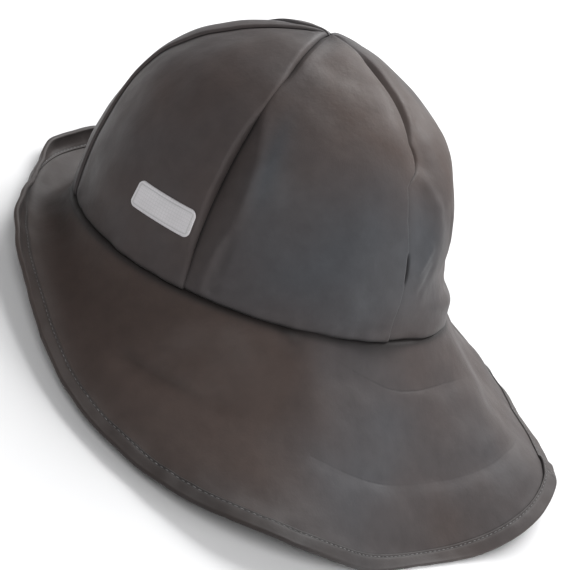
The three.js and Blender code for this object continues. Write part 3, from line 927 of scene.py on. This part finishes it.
def hem_place(across, along, through):
    azimuth = 360 * across
    side = np.where(along < 0.5, 1, -1)
    walked = 2 * np.minimum(along, 1 - along)
    inset = np.minimum(walked / FLAT_SHARE, 1) * (HEM_DEPTH - HEM_CLEARANCE)
    nose = np.clip((walked - FLAT_SHARE) / (1 - FLAT_SHARE), 0, 1) * math.pi / 2
    points = hem_face(azimuth, inset, side, through, nose)
    groove = GROOVE_SHADE["most"] * np.exp(-(((inset - STITCH_INSET) / GROOVE_SHADE["width"]) ** 2))
    lip = LIP_SHADE["most"] * np.exp(-((inset / LIP_SHADE["width"]) ** 2))
    hanging = swell(azimuth, **HEM_HANGING_SHADE)
    gutter = HEM_GUTTER_SHARE * swell(azimuth, **GUTTER_SHADE)
    warmth_and_light_here = np.clip(HEM_WARMER + tint_and_light(azimuth, HEM_ALONG, BRIM_TINTS_AND_LIGHT), -1, 2)
    return points, np.clip(groove + lip + hanging + gutter, 0, 1), warmth_and_light_here


hem = bend_cloth("hem_band", HEM_COLUMNS, HEM_ROWS, hem_place, HEM_MAP, joined=True)
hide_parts("edge_binding")
print("hem has", len(hem.data.polygons), "faces")

# %% [markdown]
# The thread shows as short raised stitches, on both sides of the band. Each one is a small stretched
# sphere, turned along the rim and sunk a little into the cloth, and all of them are one mesh. Two short
# rows across the band tack its lapped ends down.

# %% Stitches
STITCH_PITCH = 2.7
STITCH_LONG = 1.9
STITCH_THICK = 0.42
RIM_SAMPLES = 1441
# stitches in a tack row, and where the rows are, in degrees from the joint
TACK_STITCHES = 6
TACK_ROWS = (0.2, 1.2)
# how far ahead of a stitch, in degrees or millimetres, the place is that it points at
AHEAD = 0.2


def even_places(inset, side):
    """azimuths that lie one stitch apart along the rim"""
    azimuth = np.linspace(0, 360, RIM_SAMPLES)
    line = hem_face(azimuth, np.full(RIM_SAMPLES, inset), side, 1.0)
    walked = np.concatenate([[0], np.cumsum(np.linalg.norm(np.diff(line, axis=0), axis=1))])
    count = round(walked[-1] / STITCH_PITCH)
    return np.interp(np.arange(count) * walked[-1] / count, walked, azimuth), walked[-1]


def stitch_mesh():
    ball = bmesh.new()
    bmesh.ops.create_uvsphere(ball, u_segments=6, v_segments=6, radius=1)
    mesh = bpy.data.meshes.new("one stitch")
    ball.to_mesh(mesh)
    ball.free()
    return mesh


ONE_STITCH = stitch_mesh()


def add_stitch(thread, centre, along, normal):
    along = along.normalized()
    across = normal.cross(along).normalized()
    normal = along.cross(across)
    thick = STITCH_THICK
    sides = Matrix((along * STITCH_LONG / 2, across * thick / 2, normal * thick / 2))
    placed = Matrix.Translation(centre * MM) @ (sides.transposed() * MM).to_4x4()
    stitch = ONE_STITCH.copy()
    stitch.transform(placed)
    thread.from_mesh(stitch)
    bpy.data.meshes.remove(stitch)


def sew(thread, azimuth, inset, side, around=0.0, inward=0.0):
    """stitches at arrays of places, each turned towards a place further round or further in"""
    centre = hem_face(azimuth, inset, side, 1.0) + HAT_PLACE
    ahead = hem_face(azimuth + around, inset + inward, side, 1.0) + HAT_PLACE
    below = hem_face(azimuth, inset, side, 0.0) + HAT_PLACE
    for here, there, under in zip(centre, ahead, below):
        add_stitch(thread, Vector(here), Vector(there - here), Vector(here - under))


def tack_row(thread, azimuth, side):
    depth = HEM_DEPTH - HEM_CLEARANCE - STITCH_INSET
    inset = STITCH_INSET + depth * np.arange(TACK_STITCHES) / TACK_STITCHES
    sew(thread, np.full(TACK_STITCHES, azimuth), inset, side, inward=AHEAD)


def add_stitching():
    thread = bmesh.new()
    for side in (1, -1):
        azimuth, length = even_places(STITCH_INSET, side)
        sew(thread, azimuth, np.full(len(azimuth), STITCH_INSET), side, around=AHEAD)
        print(len(azimuth), "stitches round", round(length), "mm of rim")
        for offset in TACK_ROWS:
            tack_row(thread, JOINT["azimuth"] + offset, side)
    for face in thread.faces:
        face.smooth = True
    mesh = bpy.data.meshes.new("hem_stitching")
    thread.to_mesh(mesh)
    thread.free()
    piece = bpy.data.objects.new("hem_stitching", mesh)
    bpy.context.collection.objects.link(piece)
    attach(piece, "root")
    return piece


stitching = add_stitching()

# %% [markdown]
# ## The reflective patch
# A small plain patch of reflective film sits on the left gore. It is one more slab of cloth, with its
# corners cut round and a pressed border, that follows every fold of the gore below it.

# %% Patch
PATCH_LENGTH = 34
PATCH_HEIGHT = 12
PATCH_CORNER = 3
PATCH_WALL = 0.6
PATCH_AZIMUTH = 76
PATCH_TURN = 15
PATCH_LIFT = 0.12
PATCH_GORE = 1
PATCH_COLUMNS = 96
PATCH_ROWS = 44
PATCH_CROWDED = (0.8, 0.6)
# the pressed border: from the edge, how deep, half its width, and how dark for each millimetre
BORDER = {"inset": 1.5, "depth": 0.16, "width": 0.25, "shade_per_mm": 4}


def patch_place(across, along, through):
    radius = float(crown_radius(PATCH_TURN))
    climb = CROWN_HEIGHT * math.cos(math.radians(PATCH_TURN))
    run = (crowd(across, PATCH_CROWDED[0]) - 0.5) * PATCH_LENGTH
    into_corner = np.maximum(0, np.abs(run) - (PATCH_LENGTH / 2 - PATCH_CORNER))
    cut = PATCH_CORNER - np.sqrt(np.maximum(PATCH_CORNER ** 2 - into_corner ** 2, 0))
    rise = (2 * crowd(along, PATCH_CROWDED[1]) - 1) * (PATCH_HEIGHT / 2 - cut)
    azimuth = PATCH_AZIMUTH - np.degrees(run / radius)
    turn = PATCH_TURN + np.degrees(rise / climb)
    edge = np.minimum(PATCH_LENGTH / 2 - np.abs(run), PATCH_HEIGHT / 2 - cut - np.abs(rise))
    border = BORDER["depth"] * np.exp(-(((edge - BORDER["inset"]) / BORDER["width"]) ** 2))
    wall = (PATCH_WALL - PATCH_LIFT) * folded_edge(edge * 2) - border
    height = GORE_WALL + PATCH_LIFT + wall * through
    points = lean_hat(crown_place(PATCH_GORE, azimuth, turn, height))
    return points, border * BORDER["shade_per_mm"], 0 * azimuth


patch_size = (PATCH_LENGTH, PATCH_HEIGHT)
patch = bend_cloth("plain_reflective_patch", PATCH_COLUMNS, PATCH_ROWS, patch_place, patch_size)
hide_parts("reflective_patch")
print("patch is", PATCH_LENGTH, "by", PATCH_HEIGHT, "mm")

# %% [markdown]
# ## Finishes
# The cloth is woven cotton under a matte waterproof coating, so it is dark, soft to the light and
# almost smooth. Its colour wanders between warm and cool grey, in broad patches and in a slow mottle;
# the cool grey is the lighter, so some of the patches are painted light and shade. The weave shows
# faintly through the coating. The bent slabs carry two numbers at each corner: shade, which is painted
# shade in seams, creases and hollows and on the side turned from the lights, and warmth, for the broad
# patches. Small functions add the shader's nodes, so that each finish reads as a few plain lines.

# %% Node helpers


def new_paint(name):
    paint = bpy.data.materials.new(name)
    paint.use_nodes = True
    return paint, paint.node_tree, paint.node_tree.nodes["Principled BSDF"]


def add_node(tree, kind, inputs=None, **settings):
    node = tree.nodes.new(kind)
    for key, value in settings.items():
        setattr(node, key, value)
    for key, value in (inputs or {}).items():
        if isinstance(value, bpy.types.NodeSocket):
            tree.links.new(value, node.inputs[key])
        else:
            node.inputs[key].default_value = value
    return node


def number(tree, kind, first, second=0.0, clamped=False):
    settings = {"operation": kind, "use_clamp": clamped}
    return add_node(tree, "ShaderNodeMath", {0: first, 1: second}, **settings).outputs[0]


def on_vectors(tree, kind, inputs, output=0):
    return add_node(tree, "ShaderNodeVectorMath", inputs, operation=kind).outputs[output]


def blend_colours(tree, share, first, second, kind="MIX"):
    settings = {"data_type": "RGBA", "blend_type": kind}
    return add_node(tree, "ShaderNodeMix", {0: share, 6: first, 7: second}, **settings).outputs[2]


def spread(tree, value, first, last, low=0, high=1):
    """stretch a value, so that first becomes low and last becomes high"""
    return add_node(tree, "ShaderNodeMapRange", {0: value, 1: first, 2: last, 3: low, 4: high}).outputs[0]


def mottle(tree, scale, detail, low, high):
    """cloudy noise through the whole hat; a bigger scale gives smaller spots"""
    place = add_node(tree, "ShaderNodeTexCoord").outputs["Object"]
    noise = add_node(tree, "ShaderNodeTexNoise", {"Vector": place, "Scale": scale, "Detail": detail})
    return spread(tree, noise.outputs["Fac"], 0.3, 0.7, low, high)


def bump(tree, strength, depth, height, under=None):
    """fine relief as deep as depth in millimetres, on top of the relief under it"""
    inputs = {"Strength": strength, "Distance": depth * MM, "Height": height}
    if under is not None:
        inputs["Normal"] = under
    return add_node(tree, "ShaderNodeBump", inputs).outputs[0]


def on_cloth(tree):
    return add_node(tree, "ShaderNodeUVMap", uv_map="cloth").outputs["UV"]


def carried(tree, attribute):
    return add_node(tree, "ShaderNodeAttribute", attribute_name=attribute).outputs["Fac"]


print("helpers for nodes are ready")

# %% [markdown]
# The weave is two sine waves, across and along the cloth's own map. The fold marks are drawn on the
# same map: for each short line the shader works out the nearest foot on it, and how far away that is.

# %% Weave and fold marks
WEAVE_PITCH = 0.6
LINE_WIDTH = 0.9


def weave(tree):
    """threads going both ways across the cloth's own map"""
    sides = add_node(tree, "ShaderNodeSeparateXYZ", {0: on_cloth(tree)})
    turns = 2 * math.pi / (WEAVE_PITCH * MM)
    warp = number(tree, "SINE", number(tree, "MULTIPLY", sides.outputs["X"], turns))
    weft = number(tree, "SINE", number(tree, "MULTIPLY", sides.outputs["Y"], turns))
    return number(tree, "MULTIPLY", warp, weft)


def on_brim_map(azimuth, along):
    """the place of a point of the brim on its cloth map, with the back in the middle of the map"""
    rim = BRIM_LENGTH * float(brim_value("length", np.array(azimuth)))
    outer = (along * rim - NEAR_CROWN) / (rim - HEM_CLEARANCE - NEAR_CROWN)
    across = (azimuth / 360 + 0.5) % 1
    outwards = NEAR_CROWN_SHARE + (1 - NEAR_CROWN_SHARE) * outer
    return Vector((across * BRIM_MAP[0], outwards * BRIM_MAP[1], 0)) * MM


def fine_lines(tree, rows):
    """how near a place on the brim's map is to the nearest line, from 0 to the line's strength"""
    sides = add_node(tree, "ShaderNodeSeparateXYZ", {0: on_cloth(tree)})
    width = BRIM_MAP[0] * MM
    across = number(tree, "MODULO", number(tree, "ADD", sides.outputs["X"], width / 2), width)
    place = add_node(tree, "ShaderNodeCombineXYZ", {0: across, 1: sides.outputs["Y"]}).outputs[0]
    nearest = 0.0
    for row in rows:
        start, end = (on_brim_map(*point) for point in zip(row["azimuth"], row["along"]))
        run = end - start
        away = on_vectors(tree, "SUBTRACT", {0: place, 1: start})
        dot = on_vectors(tree, "DOT_PRODUCT", {0: away, 1: run}, "Value")
        share = number(tree, "MULTIPLY", dot, 1 / run.length_squared, True)
        foot = on_vectors(tree, "SCALE", {0: run, "Scale": share})
        gone = on_vectors(tree, "DISTANCE", {0: away, 1: foot}, "Value")
        closeness = number(tree, "SUBTRACT", 1.0, number(tree, "DIVIDE", gone, LINE_WIDTH * MM), True)
        nearest = number(tree, "MAXIMUM", number(tree, "MULTIPLY", closeness, row["strength"]), nearest)
    return number(tree, "MULTIPLY", nearest, mottle(tree, 70, 2, 0.55, 1.1))


print("the weave has a thread every", WEAVE_PITCH / 2, "mm")

# %% Coated cloth
# the cool colour is lighter than the warm one, so the patches between them also paint light and shade
CLOTHS = {
    "coated_cloth": {"warm": (0.0515, 0.0355, 0.0305), "cool": (0.043, 0.0445, 0.0495)},
    "hem_cloth": {"warm": (0.046, 0.0345, 0.031), "cool": (0.042, 0.042, 0.046)},
}
PAINTED_SHADE_COLOUR = (0.006, 0.005, 0.005)
# how much of the painted shade colour full shade and a full fold mark bring
SHADE_SHARE = 0.85
LINE_SHARE = 0.45
# heights of the weave and the grain in the finest relief, beside each other
WEAVE_SHARE = 0.35
GRAIN_SHARE = 0.7


def cloth_paint(name, warm, cool, lines=()):
    paint, tree, shader = new_paint(name)
    slow = mottle(tree, 14, 2, -0.28, 0.28)
    patchy = number(tree, "ADD", number(tree, "MULTIPLY", carried(tree, "warmth_and_light"), 0.5), slow)
    tone = blend_colours(tree, number(tree, "ADD", patchy, 0.5, True), (*cool, 1), (*warm, 1))
    dusty = blend_colours(tree, 1.0, tone, mottle(tree, 160, 4, 0.92, 1.08), "MULTIPLY")
    line = fine_lines(tree, lines) if lines else 0.0
    shaded = number(tree, "MULTIPLY", carried(tree, "shade"), SHADE_SHARE)
    creased = number(tree, "ADD", shaded, number(tree, "MULTIPLY", line, LINE_SHARE), True)
    colour = blend_colours(tree, creased, dusty, (*PAINTED_SHADE_COLOUR, 1))
    tree.links.new(colour, shader.inputs["Base Color"])
    tree.links.new(mottle(tree, 55, 3, 0.52, 0.66), shader.inputs["Roughness"])
    shader.inputs["Specular IOR Level"].default_value = 0.25
    shader.inputs["Sheen Weight"].default_value = 0.05
    shader.inputs["Sheen Roughness"].default_value = 0.45
    grain = number(tree, "MULTIPLY", mottle(tree, 900, 3, 0, 1), GRAIN_SHARE)
    relief = number(tree, "ADD", number(tree, "MULTIPLY", weave(tree), WEAVE_SHARE), grain)
    fine = bump(tree, 0.35, 0.06, relief)
    rumpled = bump(tree, 0.26, 0.6, mottle(tree, 90, 3, 0, 1), under=fine)
    folded = bump(tree, 0.4, 0.5, number(tree, "SUBTRACT", 1.0, line), under=rumpled)
    tree.links.new(folded, shader.inputs["Normal"])
    return paint


paints = {name: cloth_paint(name, **colours) for name, colours in CLOTHS.items()}
paints["creased_cloth"] = cloth_paint("creased_cloth", **CLOTHS["coated_cloth"], lines=BRIM_LINES)
print("cloths:", ", ".join(paints))

# %% [markdown]
# The thread is a little lighter than the cloth, and its twist is a fine wave. The patch is light grey
# film with small cells, as reflective film has: a Voronoi texture gives the walls between the cells.

# %% Thread and film
THREAD_COLOUR = (0.16, 0.155, 0.155)
WORN_THREAD = (0.05, 0.048, 0.048)
FILM_COLOUR = (0.56, 0.545, 0.56)
CELL_WALL = (0.46, 0.45, 0.46)
WORN_FILM = (0.42, 0.41, 0.42)
BORDER_COLOUR = (0.3, 0.3, 0.3)
CELL_SIZE = 0.9


def thread_paint():
    paint, tree, shader = new_paint("polyester_thread")
    worn = blend_colours(tree, mottle(tree, 420, 2, 0, 1), (*WORN_THREAD, 1), (*THREAD_COLOUR, 1))
    tree.links.new(worn, shader.inputs["Base Color"])
    shader.inputs["Roughness"].default_value = 0.5
    place = add_node(tree, "ShaderNodeTexCoord").outputs["Object"]
    twist = add_node(tree, "ShaderNodeTexWave", {"Vector": place, "Scale": 900, "Distortion": 1})
    tree.links.new(bump(tree, 0.4, 0.1, twist.outputs["Fac"]), shader.inputs["Normal"])
    return paint


def film_paint():
    paint, tree, shader = new_paint("reflective_film")
    layout = {"Vector": on_cloth(tree), "Scale": 1 / (CELL_SIZE * MM), "Randomness": 0.15}
    cells = add_node(tree, "ShaderNodeTexVoronoi", layout, feature="DISTANCE_TO_EDGE")
    ridge = spread(tree, cells.outputs["Distance"], 0.02, 0.12)
    celled = blend_colours(tree, ridge, (*CELL_WALL, 1), (*FILM_COLOUR, 1))
    worn = blend_colours(tree, mottle(tree, 130, 3, 0, 0.35), celled, (*WORN_FILM, 1))
    bordered = blend_colours(tree, carried(tree, "shade"), worn, (*BORDER_COLOUR, 1))
    tree.links.new(bordered, shader.inputs["Base Color"])
    shader.inputs["Metallic"].default_value = 0.1
    tree.links.new(mottle(tree, 200, 2, 0.34, 0.46), shader.inputs["Roughness"])
    tree.links.new(bump(tree, 0.3, 0.1, ridge), shader.inputs["Normal"])
    return paint


paints["polyester_thread"] = thread_paint()
paints["reflective_film"] = film_paint()
print("finishes:", ", ".join(paints))

# %% [markdown]
# ## Give each piece its finish
# Every piece takes one finish, and its row also names the slot of the imported record that it stands for.

# %% Finish
FINISHES = [
    *((gore, "coated_cloth", "coated_cloth") for gore in gores),
    (brim, "creased_cloth", "coated_cloth"),
    (hem, "hem_cloth", "hem_cloth"),
    (stitching, "polyester_thread", "hem_cloth"),
    (patch, "reflective_film", "reflective_film"),
]

for piece, paint_name, slot_name in FINISHES:
    piece.data.materials.append(paints[paint_name])
print(len(FINISHES), "pieces have their finish, and", len(gores) + 1, "are declared as sheets")
